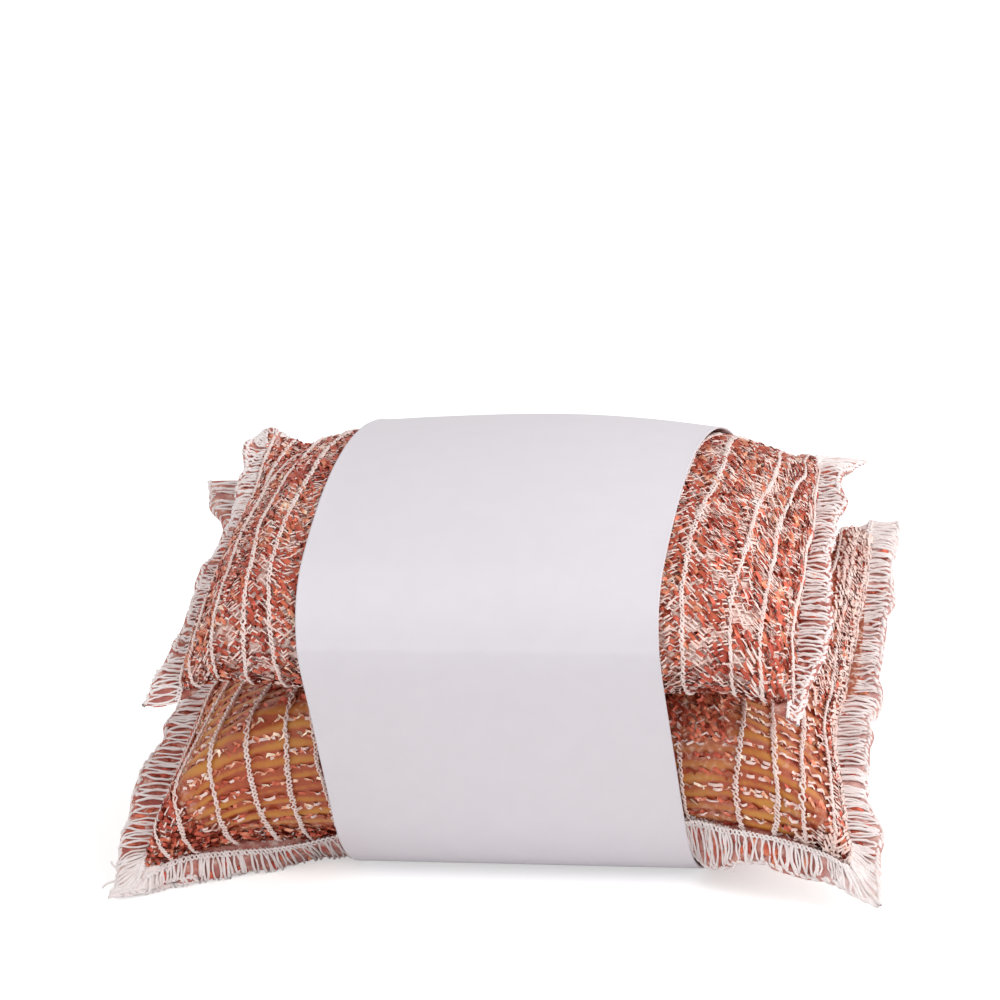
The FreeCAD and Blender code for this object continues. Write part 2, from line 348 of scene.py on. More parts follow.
knit_thread_stops = [(0.3, (0.87, 0.57, 0.49)), (0.5, (0.95, 0.72, 0.65)), (0.75, (0.98, 0.83, 0.78))]
paper_stops = [(0.3, (0.74, 0.702, 0.743)), (0.7, (0.755, 0.717, 0.758))]
glue_stops = [(0.3, (0.6, 0.55, 0.42)), (0.7, (0.72, 0.67, 0.54))]

# Grains are features per metre and detail; reliefs are grain, strength and depth
copper_grain = (900.0, 2.0)
copper_relief = ((2600.0, 2.0), 0.35, 0.06)
copper_speckle_share = 0.9
copper_metal_share = 0.4
copper_roughness = 0.38
thread_grain = (420.0, 3.0)
thread_relief = ((3800.0, 2.0), 0.5, 0.05)
thread_roughness = 0.75
thread_sheen = 0.15
streak_grain = (160.0, 3.0)
patch_grain = (75.0, 3.0)
ground_grain = (1300.0, 3.0)
pad_relief = ((1500.0, 3.0), 0.4, 0.12)
pad_roughness = 0.48
course_share = 0.75
ground_share = 0.5
patch_share = 1.6
gold_share = 0.75
streak_share = 0.5
edge_red_grain = (620.0, 3.0)
edge_pale_grain = (480.0, 3.0)
edge_relief = ((1300.0, 3.0), 0.7, 0.3)
edge_roughness = 0.55
paper_grain = (260.0, 5.0)
paper_relief = ((2200.0, 4.0), 0.12, 0.04)
paper_roughness = 0.6
glue_grain = (500.0, 3.0)
glue_roughness = 0.3

# Floor, light and camera; lamps are place, size and watts
floor_half_size = 2600.0
floor_colour = (0.93, 0.93, 0.93, 1)
floor_roughness = 0.9
floor_gloss_share = 0.1
floor_glow_share = 0.5
white = (1, 1, 1, 1)
world_strength = 0.56
lamps = {
    "key": ((540.0, -360.0, 580.0), 620.0, 3.25),
    "fill": ((-540.0, -480.0, 260.0), 700.0, 1.1),
    "side": ((620.0, 60.0, 260.0), 420.0, 0.9),
}
target_height = 35.5
camera_distance = 750.0
camera_azimuth = 12.546
camera_elevation = 16.214
camera_roll = 2.965
camera_lens = 164.1
camera_sensor = 36.0
camera_near = 10.0
aim_right = -5.19
aim_up = 22.64

rng = np.random.RandomState(SEED)


def make_object(name, points, faces, smooth=True):
    """Mesh object from points in millimetres."""
    mesh = bpy.data.meshes.new(name)
    mesh.from_pydata((np.asarray(points) / METRE).tolist(), [], np.asarray(faces).tolist())
    mesh.polygons.foreach_set("use_smooth", [smooth] * len(mesh.polygons))
    mesh.update()
    piece = bpy.data.objects.new(name, mesh)
    bpy.context.scene.collection.objects.link(piece)
    return piece


def add_number(piece, name, values):
    """Store one number per vertex for the material to read."""
    layer = piece.data.attributes.new(name, "FLOAT", "POINT")
    layer.data.foreach_set("value", np.asarray(values, np.float32).ravel())


def unit(vectors):
    return vectors / np.maximum(np.linalg.norm(vectors, axis=-1, keepdims=True), TINY)


def field(shape, cells):
    """Smooth random numbers from -1 to 1 on a grid, with about that many cells each way."""
    rough = rng.uniform(-1, 1, (cells[0] + 1, cells[1] + 1))
    down = np.linspace(0, cells[0], shape[0])
    across = np.linspace(0, cells[1], shape[1])
    tall = np.stack([np.interp(down, np.arange(cells[0] + 1), column) for column in rough.T], 1)
    return np.stack([np.interp(across, np.arange(cells[1] + 1), row) for row in tall], 0)


def noisy(shape, name):
    """One of the kinds of unevenness on a grid of rows and steps."""
    amount, rows, steps = uneven[name]
    return amount * field(shape, (shape[0] // rows, shape[1] // steps))


def eased(values, start, span):
    """0 up to a start, rising to 1 over a span."""
    return np.clip((values - start) / span, 0, 1)


def polar(centre, radius, angle):
    turn = np.radians(angle)
    return np.stack([centre[0] + radius * np.cos(turn), centre[1] + radius * np.sin(turn)], -1)


def arc(centre, radius, first, last):
    return polar(centre, radius, np.linspace(first, last, arc_steps))


def bowed(start, bend, stop, share):
    """Point on a curve that leaves its start and reaches its stop heading through a bend."""
    return start * (1 - share) ** 2 + 2 * share * (1 - share) * bend + stop * share ** 2


def run_of(points):
    """Distance along a line at each of its points."""
    return np.concatenate([[0], np.cumsum(np.linalg.norm(np.diff(points, axis=0), axis=1))])


def along_line(where, run, points):
    return np.stack([np.interp(where, run, points[:, k]) for k in range(points.shape[1])], 1)


def resampled(points, count, closed):
    """Points at even spacing along a line."""
    if closed:
        points = np.concatenate([points, points[:1]])
    run = run_of(points)
    return along_line(np.linspace(0, run[-1], count, endpoint=not closed), run, points)


def blended(row, column, *grids):
    """Values between the points of grids, by straight blending; the last column joins the first."""
    i = row.astype(int)
    j = column.astype(int)
    after = (j + 1) % grids[0].shape[1]
    a = (row - i)[..., None]
    b = (column - j)[..., None]
    results = []
    for values in grids:
        low = values[i, j] * (1 - b) + values[i, after] * b
        high = values[i + 1, j] * (1 - b) + values[i + 1, after] * b
        results.append(low * (1 - a) + high * a)
    return results


# Sponge surfaces
def seam_height(pad):
    return pad["low"] + pad["low_radius"] + pad["side"] / 2 + pad["seam_rise"]


def dome(high, corner, crown):
    """Radius of a crown's arc, height of its centre and angle at which it meets the shoulders."""
    radius = (high[0] ** 2 + crown ** 2 + 2 * corner * crown) / (2 * crown)
    centre = high[1] + corner + crown - radius
    return radius, centre, math.degrees(math.atan2(high[1] - centre, high[0]))


def scaled_pad(pad, fullness, inset):
    """Sizes of a pad's section where it is that full, some way below its face."""
    seam = seam_height(pad)
    half_depth = pad["end_half_depth"] + (pad["half_depth"] - pad["end_half_depth"]) * fullness
    return {
        "middle": pad["end_setback"] + (pad["setback"] - pad["end_setback"]) * fullness,
        "half_depth": half_depth - inset,
        "low": seam - (seam - pad["low"] - inset) * fullness,
        "low_radius": (pad["low_radius"] - inset) * fullness,
        "side": pad["side"] * fullness,
        "high_radius": (pad["high_radius"] - inset) * fullness,
        "crown": pad["crown"] * fullness,
    }


def low_corner(size, side):
    """Centre of a section's lower corner at the front or the back."""
    across = size["middle"] + side * (size["half_depth"] - size["low_radius"])
    return np.array([across, size["low"] + size["low_radius"]])


def tilted(pad, fullness, points):
    """Section points turned as the sponge tilts towards its ends."""
    turn = math.radians(pad["tilt"]) * (1 - fullness)
    y = points[..., 0]
    rise = points[..., 1] - seam_height(pad)
    across = y * math.cos(turn) - rise * math.sin(turn)
    up = seam_height(pad) + y * math.sin(turn) + rise * math.cos(turn)
    return np.stack([across, up], -1)


def end_progress(pad, from_middle):
    """0 where the band holds a sponge, rising to 1 at its end."""
    held = band_width / 2 + abs(pad["shift"])
    return min(max((abs(from_middle) - held) / (pad["length"] / 2 - held), 0), 1)


def fullness_at(pad, from_middle):
    rounding = (1 - end_progress(pad, from_middle) ** end_round_share) ** end_blunt_share
    return slit_fullness_share + (1 - slit_fullness_share) * rounding


def section(pad, fullness, inset, count):
    """Closed section from the middle of the bottom round the back, the top and the front."""
    size = scaled_pad(pad, fullness, inset)
    low = (size["half_depth"] - size["low_radius"], size["low"] + size["low_radius"])
    high = (size["half_depth"] - size["high_radius"], low[1] + size["side"])
    top = []
    lean = QUARTER_TURN
    if size["crown"]:
        radius, centre, lean = dome(high, size["high_radius"], size["crown"])
        top = [arc((0, centre), radius, lean, HALF_TURN - lean)]
    points = np.concatenate([
        np.array([[0, size["low"]]]),
        arc(low, size["low_radius"], -QUARTER_TURN, 0),
        arc(high, size["high_radius"], 0, lean),
        *top,
        arc((-high[0], high[1]), size["high_radius"], HALF_TURN - lean, HALF_TURN),
        arc((-low[0], low[1]), size["low_radius"], HALF_TURN, HALF_TURN + QUARTER_TURN),
    ])
    points[:, 0] += size["middle"]
    return tilted(pad, fullness, resampled(points, count, True))


def pad_grid(pad, inset, columns, rings):
    """Sections along a pad, closer together towards its ends."""
    xs = pad["shift"] + pad["length"] / 2 * np.sin(np.linspace(-math.pi / 2, math.pi / 2, columns))
    grid = np.empty((columns, rings, 3))
    for i, x in enumerate(xs):
        grid[i, :, 0] = x
        grid[i, :, 1:] = section(pad, fullness_at(pad, x - pad["shift"]), inset, rings)
    return xs, grid


def drooped(drops, points):
    """Points lowered towards the sides of the band, where the upper sponge thins."""
    place = np.clip(points[..., 0] / (band_width / 2), -1, 1)
    drop = np.where(place < 0, drops[0], drops[1]) * place ** 2
    high = eased(points[..., 2], crown_base, crown_span)
    return np.stack([points[..., 0], points[..., 1], points[..., 2] - drop * high], -1)


def outward(pad, x):
    """The end that each place is nearest to, and its share of the way out there from the band."""
    end = np.where(x > pad["shift"], 1, -1)
    last = np.abs(pad["shift"] + end * pad["length"] / 2)
    return end, np.clip((end * x - band_width / 2) / (last - band_width / 2), 0, 1)


def by_corner(table, right, back):
    """Values of a table at the corners that points belong to."""
    return np.array([table[-1], table[1]])[right, back]


def drawn_out(pad, points):
    """Sponge points moved to where the corners are drawn out to their ears and curl up or down."""
    end, out = outward(pad, points[..., 0])
    spread = 1 + out ** 2 * (pad["corner_half_depth"] / pad["end_half_depth"] - 1)
    middle = seam_height(pad) + points[..., 1] * math.tan(math.radians(pad["tilt"])) * out ** 2
    y = pad["end_setback"] + (points[..., 1] - pad["end_setback"]) * spread
    back = (y > 0).astype(int)
    right = (end > 0).astype(int)
    far = eased(y, -pinch_span / 2, pinch_span)
    pinches = pad["pinch_shares"]
    pinch = by_corner(pinches, right, 0) * (1 - far) + by_corner(pinches, right, 1) * far
    level = middle + (points[..., 2] - middle) * (1 - pinch * out ** 2)
    start = np.array(pad["corner_start_shares"])[back]
    ear = np.clip((np.abs(y) / pad["ear_half_span"] - start) / (1 - start), 0, ear_limit_share)
    curl = ear ** ear_power_share * out ** by_corner(pad["corner_power_shares"], right, back)
    x = points[..., 0] + end * curl * by_corner(pad["corner_pulls"], right, back)
    z = level + curl * by_corner(pad["corner_rises"], right, back)
    return drooped(pad["crown_drops"], np.stack([x, y, z], -1))


def grid_faces(columns, rings):
    """Quads of a grid of points that closes round its rings."""
    i, j = np.meshgrid(np.arange(columns - 1), np.arange(rings), indexing="ij")
    after = (j + 1) % rings
    corners = [i * rings + j, i * rings + after, (i + 1) * rings + after, (i + 1) * rings + j]
    return np.stack(corners, -1).reshape(-1, 4)


def shell_faces(rows, rings, columns):
    """Quads of a strip that is closed all round, with both of its ends."""
    j = np.arange(columns - 1)
    cap = np.stack([j, j + 1, rings - 2 - j, rings - 1 - j], -1)
    return np.concatenate([grid_faces(rows, rings), cap, (rows - 1) * rings + cap])


def pad_faces(columns, rings):
    """Quads of a tube whose ends are closed by joining its front half to its back half."""
    faces = []
    for first in (0, (columns - 1) * rings):
        for j in range(rings // 2):
            places = (j, j + 1, (rings - j - 1) % rings, (rings - j) % rings)
            corners = [first + place for place in places]
            if len(set(corners)) == len(corners):
                faces.append(corners if first else corners[::-1])
    return np.concatenate([grid_faces(columns, rings), np.array(faces)])


def free_share(pad, xs):
    """0 where the band holds a sponge, rising to 1 halfway out to its ends."""
    out = (np.abs(xs) - band_width / 2) / (pad["length"] / 2 - band_width / 2)
    return np.clip(2 * out, 0, 1)


def settled(name, pad):
    """How far pressure inside moves a cover, pinned under the band and at its seams, as cloth."""
    xs, held = pad_grid(pad, cover_depth, cloth_columns, cloth_rings)
    _, slack = pad_grid(pad, cover_depth + cloth_start_depth, cloth_columns, cloth_rings)
    loose = free_share(pad, xs)[:, None, None]
    start = held + (slack - held) * loose
    piece = make_object(name + "_cloth", start.reshape(-1, 3), pad_faces(cloth_columns, cloth_rings))
    pins = piece.vertex_groups.new(name="pins")
    ends = np.abs(np.linspace(-1, 1, cloth_columns))[:, None] > 1 - pinned_columns / cloth_columns
    pinned = np.broadcast_to((loose[:, :, 0] == 0) | ends, (cloth_columns, cloth_rings))
    pins.add(np.flatnonzero(pinned.ravel()).tolist(), 1, "REPLACE")
    cloth = piece.modifiers.new("cloth", "CLOTH")
    cloth.settings.vertex_group_mass = "pins"
    cloth.settings.use_pressure = True
    cloth.settings.uniform_pressure_force = cloth_pressure
    cloth.settings.effector_weights.gravity = 0
    cloth.point_cache.frame_end = cloth_frames
    scene = bpy.context.scene
    for step in range(1, cloth_frames + 1):
        scene.frame_set(step)
    shaped = piece.evaluated_get(bpy.context.evaluated_depsgraph_get())
    points = np.empty(len(shaped.data.vertices) * 3)
    shaped.data.vertices.foreach_get("co", points)
    moved = points.reshape(start.shape) * METRE - held
    scene.frame_set(1)
    bpy.data.objects.remove(piece)
    size = np.linalg.norm(moved, axis=2, keepdims=True)
    return xs, moved * np.minimum(1, cloth_cap / np.maximum(size, TINY))


class Surface:
    """A pad's cover as a fine grid of points and normals that can be read anywhere."""

    def __init__(self, name, pad):
        self.xs, grid = pad_grid(pad, cover_depth, fine_columns, fine_rings)
        coarse_xs, moved = settled(name, pad)
        around = np.arange(fine_rings) * cloth_rings / fine_rings
        ringed = np.concatenate([moved, moved[:, :1]], 1)
        shift = np.empty_like(grid)
        for k in range(3):
            rows = np.stack([np.interp(around, np.arange(cloth_rings + 1), row) for row in ringed[:, :, k]])
            shift[:, :, k] = np.stack([np.interp(self.xs, coarse_xs, column) for column in rows.T], 1)
        grid = drawn_out(pad, grid + shift)
        from_middle = np.abs(np.linspace(-1, 1, fine_columns))
        loose = free_share(pad, self.xs) * (1 - from_middle ** bulge_end_power)
        bumps = field((fine_columns, fine_rings), bulge_cells)
        bumps = bumps * (1 - np.abs(np.linspace(-1, 1, fine_rings))[None] ** bulge_fold_power)
        self.points = grid
        self.normals = self.find_normals()
        self.points = grid + self.normals * (bumps * loose[:, None] * bulge_noise)[:, :, None]
        self.normals = self.find_normals()
        steps = np.linalg.norm(np.diff(self.points, axis=1, append=self.points[:, :1]), axis=2)
        self.girths = steps.sum(1)
        strides = np.linalg.norm(np.diff(self.points, axis=0), axis=2).mean(1)
        self.runs = np.concatenate([[0], np.cumsum(strides)])
        self.length = self.runs[-1]

    def find_normals(self):
        along = np.gradient(self.points, axis=0)
        around = np.roll(self.points, -1, 1) - np.roll(self.points, 1, 1)
        normals = unit(np.cross(around, along))
        middle = self.points.mean(1, keepdims=True)
        if (normals * (self.points - middle)).sum() < 0:
            normals = -normals
        return normals

    def girth(self, run):
        return np.interp(run, self.runs, self.girths)

    def courses(self, pitch):
        return int(round(self.girths.max() / pitch))

    def at(self, run, v):
        """Points and normals at distances along the cover and shares round it."""
        row = np.clip(np.interp(run, self.runs, np.arange(fine_columns)), 0, fine_columns - 1 - cell_gap)
        ring = v % 1 * fine_rings % fine_rings
        points, normals = blended(row, ring, self.points, self.normals)
        return points, unit(normals)


def strip_faces(steps, keep):
    """Quads of rows of two-point steps, where keep marks the steps that stay."""
    i, j = np.nonzero(keep[:, :-1] & keep[:, 1:])
    base = (i * steps + j) * 2
    return np.stack([base, base + 1, base + 3, base + 2], -1)


def ribbon(points, normals, tilt, width):
    """Two edges of flat ribbon along rows of points, tilted off the surface."""
    along = unit(np.gradient(points, axis=1))
    side = unit(np.cross(normals, along))
    half = (np.cos(tilt)[..., None] * side + np.sin(tilt)[..., None] * normals) * width[..., None] / 2
    return np.stack([points - half, points + half], 2)


def tubes(paths, normals, radius, sides, closed=False):
    """Tubes along rows of points; closed tubes join their last point to their first."""
    rows, steps, _ = paths.shape
    if closed:
        along = unit(np.roll(paths, -1, 1) - np.roll(paths, 1, 1))
    else:
        along = unit(np.gradient(paths, axis=1))
    side = unit(np.cross(along, normals))
    up = np.cross(side, along)
    turns = np.arange(sides) * CIRCLE / sides
    radius = np.broadcast_to(np.asarray(radius), (rows, steps))[..., None, None]
    ring = np.cos(turns)[:, None] * side[:, :, None] + np.sin(turns)[:, None] * up[:, :, None]
    points = (paths[:, :, None] + ring * radius).reshape(-1, 3)
    i, j = np.meshgrid(np.arange(rows), np.arange(steps if closed else steps - 1), indexing="ij")
    first = ((i * steps + j) * sides).reshape(-1, 1)
    second = ((i * steps + (j + 1) % steps) * sides).reshape(-1, 1)
    k = np.arange(sides)
    turn = (k + 1) % sides
    return points, np.stack([first + k, first + turn, second + turn, second + k], -1).reshape(-1, 4)


def gathered(parts):
    """One set of points and faces out of several."""
    points = []
    faces = []
    count = 0
    for part_points, part_faces in parts:
        points.append(part_points)
        faces.append(part_faces + count)
        count += len(part_points)
    return np.concatenate(points), np.concatenate(faces)


def tidy_points(points, faces, *values):
    """Drop the points that no face uses."""
    used = np.unique(faces)
    place = np.zeros(len(points), int)
    place[used] = np.arange(len(used))
    return (points[used], place[faces], *[value[used] for value in values])


def drawn_open(name, points, normals):
    """Share by which the knit is drawn open, so that the gold foam shows between its courses."""
    if name == "upper":
        return np.zeros(points.shape[:-1])
    x = points[..., 0]
    z = points[..., 2]
    facing = open_tilt_share * np.maximum(normals[..., 2], 0) - normals[..., 1]
    front = eased(facing, open_face_share, open_face_span_share)
    level = eased(z, open_low, open_level_span) * eased(-z, -open_high, open_level_span)
    reach = np.abs(x) + open_lean_share * np.maximum(open_knee - z, 0)
    inward = eased(-reach, -open_half_length, open_end_span)
    right = eased(x, open_right_start, open_right_span)
    right = right * eased(np.abs(z - open_right_level), 0, open_right_reach)
    end = eased(x, open_end_start, open_level_span) * eased(-x, -open_end_stop, open_level_span)
    end = end * (normals[..., 2] > open_end_tilt_share)
    return np.maximum(front * level * inward * (1 - right), end)


def course_drift(pad, surface, runs):
    """Share of the girth by which the courses turn back towards level where the ends are twisted."""
    end, out = outward(pad, np.interp(runs, surface.runs, surface.xs))
    level = np.where(end > 0, pad["course_levels"][1], pad["course_levels"][-1])
    return -level * out / surface.girths.max()


def copper_courses(name, pad, surface):
    """Two layers of curly copper ribbon, looped along the courses of the knit."""
    xs = np.arange(knit_margin, surface.length - knit_margin, course_step)
    courses = surface.courses(course_pitch)
    shape = (courses, len(xs))
    rows = np.arange(courses)[:, None]
    parts = []
    tones = []
    for layer in range(2):
        phase = rng.uniform(0, CIRCLE, (courses, 1)) + noisy(shape, "loop_phase")
        swing = loop_swings[layer] * (1 + noisy(shape, "loop_swing"))
        turn = CIRCLE * xs[None] / loop_pitch + phase
        centre = (rows + layer / 2) / courses + course_drift(pad, surface, xs)[None]
        lateral = swing * np.sin(turn) + noisy(shape, "course_wander")
        v = centre + lateral / surface.girth(xs)[None]
        points, normals = surface.at(xs[None] + loop_lean * np.sin(2 * turn + loop_lean_turn), v)
        open_share = drawn_open(name, points, normals)
        height = loop_heights[layer] + loop_rise * np.cos(turn + loop_rise_turn)
        height = height + noisy(shape, "loop_height")
        height = np.maximum(height, least_height) * (1 - open_flat_share * open_share)
        points = points + normals * height[..., None]
        tilt = ribbon_tilt * np.sin(turn / 2 + phase) + noisy(shape, "ribbon_tilt")
        width = ribbon_widths[layer] * (1 + noisy(shape, "ribbon_width"))
        edges = ribbon(points, normals, tilt, width * (1 - open_narrow_share * open_share))
        chance = (1 + noisy(shape, "flake_chance")) / 2
        keep = (open_share < open_limit_share) | (rows % 2 == 0) & (chance > open_flake_limits[layer])
        keep &= chance > bare_shares[name][layer]
        tone = middle_tone + noisy(shape, "tone_patch") + noisy(shape, "tone_flake")
        tone = tone + open_tone * open_share
        parts.append((edges.reshape(-1, 3), strip_faces(len(xs), keep)))
        tones.append(np.repeat(tone.ravel(), 2))
    points, faces = gathered(parts)
    points, faces, tone = tidy_points(points, faces, np.concatenate(tones))
    piece = make_object(name + "_knit", points, faces)
    add_number(piece, "tone", tone)
    return piece


def rib_places(surface):
    """Places of the white ribs along a cover, unevenly spaced."""
    count = int(surface.length / rib_pitch)
    even = np.linspace(rib_margin, surface.length - rib_margin, count)
    return even + rng.uniform(-rib_jitter, rib_jitter, count)


def painted_shade_sink_share(points, normals):
    """Share by which the ribs sink into the cover at the right of the band's front, hiding their white
    there as painted shade under the upper sponge.
    """
    x = points[..., 0]
    beside = eased(x, sunk_start, sunk_span) * eased(-x, -sunk_stop, sunk_span)
    return beside * eased(points[..., 2], sunk_low, sunk_span) * (normals[..., 1] < 0)


def white_ribs(name, surface):
    """Chains of white thread round a pad, each of two strands that cross at every stitch."""
    parts = []
    for place in rib_places(surface):
        stitches = int(surface.girth(place) / stitch_pitch)
        steps = stitches * rib_steps
        line = (1, steps)
        v = np.arange(steps)[None] / steps
        smooth = np.ones(steps // rib_bends) * rib_bends / steps
        wander = rib_wander * np.convolve(field(line, (1, rib_bends))[0], smooth, "same")[None]
        ease = eased(np.minimum(v, 1 - v), 0, rib_join_share)
        turn = CIRCLE * stitches * v + noisy(line, "rib_turn") * ease
        for side in (-1, 1):
            swing = rib_swings[name] * (1 + noisy(line, "rib_swing") * ease)
            stray = (wander + noisy(line, "rib_stray")) * ease
            x = place + stray + side * swing * np.sin(turn)
            points, normals = surface.at(np.clip(x, knit_margin, surface.length - knit_margin), v)
            height = rib_height + side * rib_twist * np.cos(turn)
            # Ribs sink out of sight as painted shade where the upper sponge shades the lower one
            height = height - painted_shade_sink_depths[name] * painted_shade_sink_share(points, normals)
            radius = rib_radius * (1 + noisy(line, "rib_radius") * ease)
            parts.append(tubes(points + normals * height[..., None], normals, radius, rib_sides, True))
    return make_object(name + "_ribs", *gathered(parts))


def white_inlay(name, pad, surface):
    """Fine thread looped along the courses, and short flecks where the knit is drawn open."""
    xs = np.arange(knit_margin, surface.length - knit_margin, course_step)
    courses = surface.courses(inlay_course_pitches[name])
    shape = (courses, len(xs))
    phase = rng.uniform(0, CIRCLE, (courses, 1)) + noisy(shape, "inlay_phase")
    turn = CIRCLE * xs[None] / inlay_pitch + phase
    drift = course_drift(pad, surface, xs)[None]
    v = (np.arange(courses)[:, None] + 1 / 2) / courses + drift
    open_share = drawn_open(name, *surface.at(xs[None], v))
    lateral = inlay_swing * np.sin(turn) + noisy(shape, "inlay_drift")
    v = v + lateral * (1 - open_share) / surface.girth(xs)[None]
    points, normals = surface.at(xs[None] + inlay_swing / 2 * np.sin(2 * turn) * (1 - open_share), v)
    pale = eased(points[..., 0], pale_starts[name], pale_spans[name])
    close_pale = pale * (1 - open_share)
    rise = inlay_rise * (np.sin(turn * inlay_rise_share + inlay_rise_turn) - open_share)
    height = inlay_height + rise + pale_lifts[name] * close_pale
    points = points + normals * height[..., None]
    lean = noisy(shape, "inlay_lean")
    width = 1 + noisy(shape, "inlay_width") + open_share + pale_lifts[name] * close_pale
    edges = ribbon(points, normals, lean, inlay_width * width)
    chance = (1 + noisy(shape, "inlay_chance")) / 2 + inlay_patch * field(shape, inlay_patch_cells)
    limit = inlay_bare_shares[name] - pale_shares[name] * close_pale
    pairs = surface.courses(course_pitch) / 2
    from_course = np.abs(((v - drift) * pairs + 1 / 2) % 1 - 1 / 2) * 2 * course_pitch
    fleck = (from_course < fleck_reach) & (chance > fleck_bare_share - pale_fleck_share * pale)
    keep = np.where(open_share > fleck_open_share, fleck, chance > limit)
    return make_object(name + "_inlay", *tidy_points(edges.reshape(-1, 3), strip_faces(len(xs), keep)))


def pad_body(name, pad, surface):
    """Foam pad in its inner knit, as one closed soft form under the outer knit."""
    xs = np.linspace(0, surface.length, pad_columns)
    v = np.arange(pad_rings)[None] / pad_rings
    points, normals = surface.at(xs[:, None], v)
    from_seam = v - course_drift(pad, surface, xs)[:, None]
    wobble = course_wobble * field((pad_columns, pad_rings), wobble_cells)
    course = (1 + np.cos(math.pi * surface.courses(course_pitch) * from_seam + wobble)) / 2
    open_share = drawn_open(name, points, normals)
    points = points + normals * (band_swell * open_share * (1 - course))[..., None]
    piece = make_object(name + "_pad", points.reshape(-1, 3), pad_faces(pad_columns, pad_rings))
    add_number(piece, "tone", open_share)
    add_number(piece, "course", course)
    return piece


# Overlocked edges
def slit_point(pad, y):
    return tilted(pad, slit_fullness_share, np.array([y, seam_height(pad)]))


def long_seam_line(pad, x):
    """Root and tip of the long edge's middle surface at x."""
    from_middle = x - pad["shift"]
    share = end_progress(pad, from_middle)
    fullness = fullness_at(pad, from_middle)
    size = scaled_pad(pad, fullness, 0)
    side = pad["seam_side"]
    end = 1 if x > 0 else -1
    bare = min(max((abs(x) - band_width / 2 + root_lead) / root_ease, 0), 1)
    root_angle = pad["root_angle"] + (pad["loose_root_angles"][end] - pad["root_angle"]) * bare
    root = polar(low_corner(size, side), size["low_radius"] - root_sink * bare + seam_root_gap, root_angle)
    along = root_angle - side * QUARTER_TURN + side * seam_flare_angle * share
    thickness = pressed_seam_thickness + (seam_thickness - pressed_seam_thickness) * share
    fade = max(1 - pad["skirt_fades"][end] * share, skirt_floor_share)
    skirt = pad["skirt_shares"][end] * bare * fade
    tip = polar(root, seam_width * (1 + corner_widening_share * share + skirt), along)
    off = polar((0, 0), thickness / 2, along + side * QUARTER_TURN)
    ends = tilted(pad, fullness, np.stack([root + off, tip + off]))
    return np.array([x, *ends[0]]), np.array([x, *ends[1]])


def end_edge(pad, end):
    """Roots and tips from the ear at the folded side round to the corner at the long edge."""
    side = pad["seam_side"]
    root_x = pad["shift"] + end * pad["length"] / 2
    width = pad["edge_widths"][end]
    flares = pad["corner_flares"][end]
    fold_flare = flares[(1 - side) // 2]
    corner_flare = flares[(1 + side) // 2]
    corner_root, _ = long_seam_line(pad, root_x)
    first = pad["end_setback"] - side * (pad["end_half_depth"] + ear_overhang)
    last = corner_root[1] - side * corner_start
    roots = []
    tips = []
    for y in np.linspace(first, last, end_rows):
        across, up = slit_point(pad, y)
        ear = max(1 - (y - first) / (last - first) / ear_length_share, 0)
        roots.append([root_x - end * root_tuck, across, up])
        tips.append([root_x + end * (width + ear * fold_flare), across, up])
    across, up = slit_point(pad, corner_root[1] + side * corner_start)
    peak = np.array([root_x + end * (width + corner_flare), across, up - pad["corner_droop"]])
    base = np.array(roots[-1])
    start = np.array(tips[-1])
    bend = start * (1 - corner_bend_share) + peak * corner_bend_share
    for share in np.linspace(0, 1, corner_rows)[1:]:
        roots.append(base * (1 - share) + corner_root * share)
        tips.append(bowed(start, bend, peak, share))
    return np.array(roots), np.array(tips), peak


def long_edge(pad, left_peak, right_peak):
    """Roots and tips along the long edge, with half a corner at each end."""
    reach = pad["length"] / 2 - long_margin
    lines = [long_seam_line(pad, pad["shift"] + x) for x in np.linspace(-reach, reach, long_rows)]
    roots = [line[0] for line in lines]
    tips = [line[1] for line in lines]

    def fan(peak, tip):
        bend = peak * fan_bend_share + tip * (1 - fan_bend_share)
        return [bowed(peak, bend, tip, share) for share in np.linspace(0, 1, fan_rows)[:-1]]

    left = fan(left_peak, tips[0])
    right = fan(right_peak, tips[-1])[::-1]
    roots = [roots[0]] * len(left) + roots + [roots[-1]] * len(right)
    return np.array(roots), np.array(left + tips + right)


def inside(pad, roots):
    """Points well inside the sponge that an edge's roots are tucked towards."""
    reach = pad["length"] / 2 - inner_reach
    x = np.clip(roots[:, 0], pad["shift"] - reach, pad["shift"] + reach)
    y = pad["end_setback"] + (roots[:, 1] - pad["end_setback"]) * inward_share
    z = roots[:, 2] + (seam_height(pad) - roots[:, 2]) * (1 - inward_share)
    return np.stack([x, y, z], 1)


